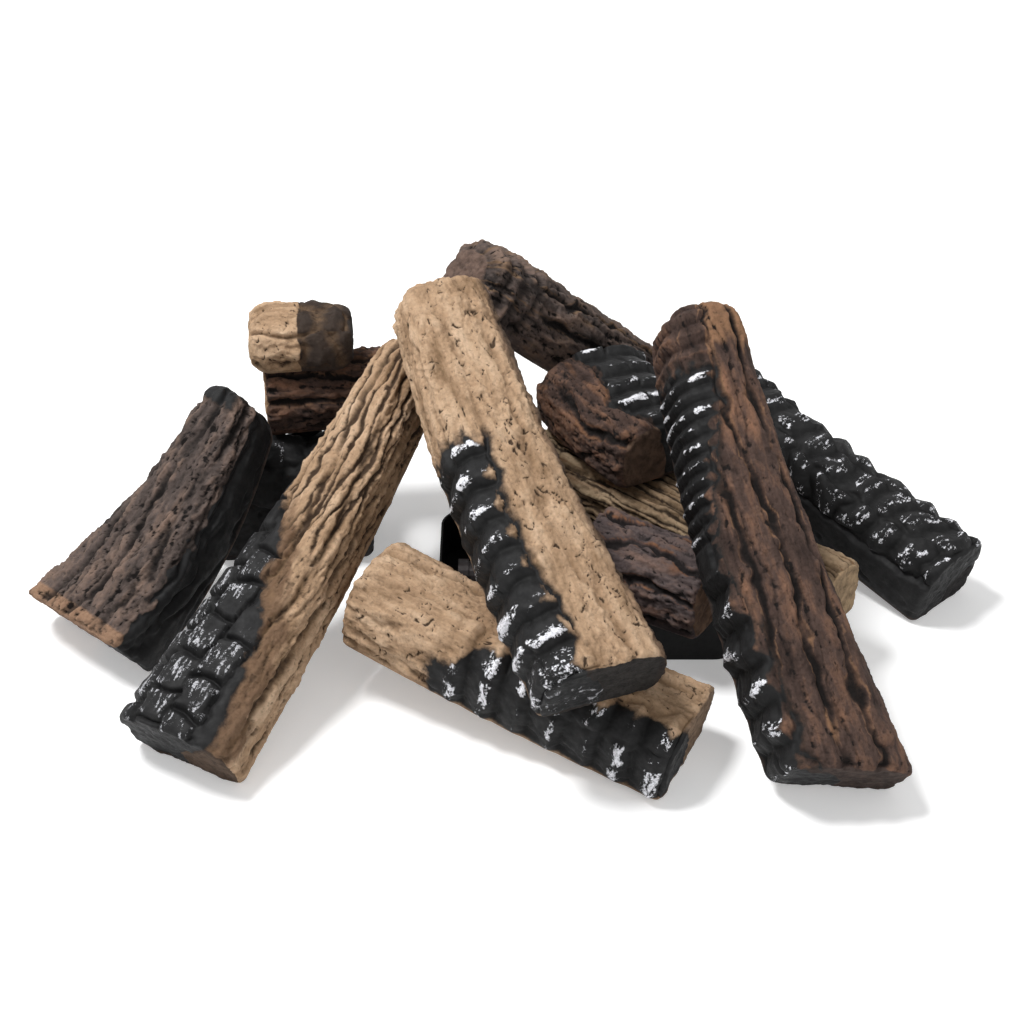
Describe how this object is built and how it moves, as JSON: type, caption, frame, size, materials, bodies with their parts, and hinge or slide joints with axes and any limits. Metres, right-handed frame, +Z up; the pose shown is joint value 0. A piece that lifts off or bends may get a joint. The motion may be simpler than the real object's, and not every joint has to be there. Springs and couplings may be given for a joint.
{
  "type": "gas log set",
  "caption": "Stacked cast ceramic logs with bark and char relief over a steel burner pan, with a ported burner tube, air mixer and gas inlet.",
  "frame": {"origin": "centre of the whole set in plan, at the height of the floor it stands on", "axes": "+X along the width to the right, +Z up, -Y towards the front"},
  "size_m": [0.7266, 0.5252, 0.2481],
  "materials": {
    "brown_ceramic": "matt painted bark relief",
    "tan_ceramic": "matt painted bark relief",
    "charred_ceramic": "matt char with ash white on the high places",
    "black_steel": "satin high-temperature black paint",
    "bare_steel": "plain mill steel",
    "screw_steel": "zinc plated",
    "brass": "turned",
    "ember_rock": "matt broken lumps"
  },
  "bodies": {
    "burner_base": {"burner_pan": "black_steel", "burner_tube": "bare_steel", "tube_cap_left": "bare_steel", "tube_cap_right": "bare_steel", "tube_bracket_1": "bare_steel", "tube_bracket_2": "bare_steel", "bracket_screw_1": "screw_steel", "bracket_screw_2": "screw_steel", "bracket_screw_3": "screw_steel", "bracket_screw_4": "screw_steel", "mixer_tube": "bare_steel", "orifice_spud": "brass", "inlet_nipple": "brass", "inlet_nut": "brass", "ember_lump_1": "ember_rock", "ember_lump_2": "ember_rock", "ember_lump_3": "ember_rock", "ember_lump_4": "ember_rock", "ember_lump_5": "ember_rock", "ember_lump_6": "ember_rock", "ember_lump_7": "ember_rock", "ember_lump_8": "ember_rock", "front_tan_log": "tan_ceramic", "short_split_log": "brown_ceramic"},
    "air_shutter": {"air_shutter": "bare_steel"},
    "left_bark_log": {"left_bark_log": "brown_ceramic"},
    "left_round_log": {"left_round_log": "brown_ceramic"},
    "back_top_log": {"back_top_log": "brown_ceramic"},
    "right_bark_log": {"right_bark_log": "brown_ceramic"},
    "left_top_log": {"left_top_log": "tan_ceramic"},
    "left_tan_log": {"left_tan_log": "tan_ceramic"},
    "centre_tan_log": {"centre_tan_log": "tan_ceramic"},
    "pan_cross_log": {"pan_cross_log": "tan_ceramic"},
    "left_charred_log": {"left_charred_log": "charred_ceramic"},
    "right_charred_log": {"right_charred_log": "charred_ceramic"},
    "far_right_log": {"far_right_log": "charred_ceramic"}
  },
  "joints": [
    {"name": "air_shutter_turn", "type": "hinge", "parent": "burner_base", "child": "air_shutter", "pos_m": [-0.01594, 0.08815, 0.02], "axis": [0, 1, 0], "range_deg": [0, 45]},
    {"name": "left_charred_log_lift", "type": "slide", "parent": "burner_base", "child": "left_charred_log", "axis": [0, 0, 1], "range_m": [0, 0.26]},
    {"name": "left_bark_log_lift", "type": "slide", "parent": "left_charred_log", "child": "left_bark_log", "axis": [0, 0, 1], "range_m": [0, 0.26]},
    {"name": "left_round_log_lift", "type": "slide", "parent": "left_charred_log", "child": "left_round_log", "axis": [0, 0, 1], "range_m": [0, 0.26]},
    {"name": "left_top_log_lift", "type": "slide", "parent": "left_round_log", "child": "left_top_log", "axis": [0, 0, 1], "range_m": [0, 0.26]},
    {"name": "left_tan_log_lift", "type": "slide", "parent": "left_round_log", "child": "left_tan_log", "axis": [0, 0, 1], "range_m": [0, 0.26]},
    {"name": "back_top_log_lift", "type": "slide", "parent": "left_round_log", "child": "back_top_log", "axis": [0, 0, 1], "range_m": [0, 0.26]},
    {"name": "centre_tan_log_lift", "type": "slide", "parent": "left_tan_log", "child": "centre_tan_log", "axis": [0, 0, 1], "range_m": [0, 0.26]},
    {"name": "pan_cross_log_lift", "type": "slide", "parent": "burner_base", "child": "pan_cross_log", "axis": [0, 0, 1], "range_m": [0, 0.26]},
    {"name": "right_charred_log_lift", "type": "slide", "parent": "pan_cross_log", "child": "right_charred_log", "axis": [0, 0, 1], "range_m": [0, 0.26]},
    {"name": "right_bark_log_lift", "type": "slide", "parent": "right_charred_log", "child": "right_bark_log", "axis": [0, 0, 1], "range_m": [0, 0.26]},
    {"name": "far_right_log_lift", "type": "slide", "parent": "back_top_log", "child": "far_right_log", "axis": [0, 0, 1], "range_m": [0, 0.26]}
  ]
}
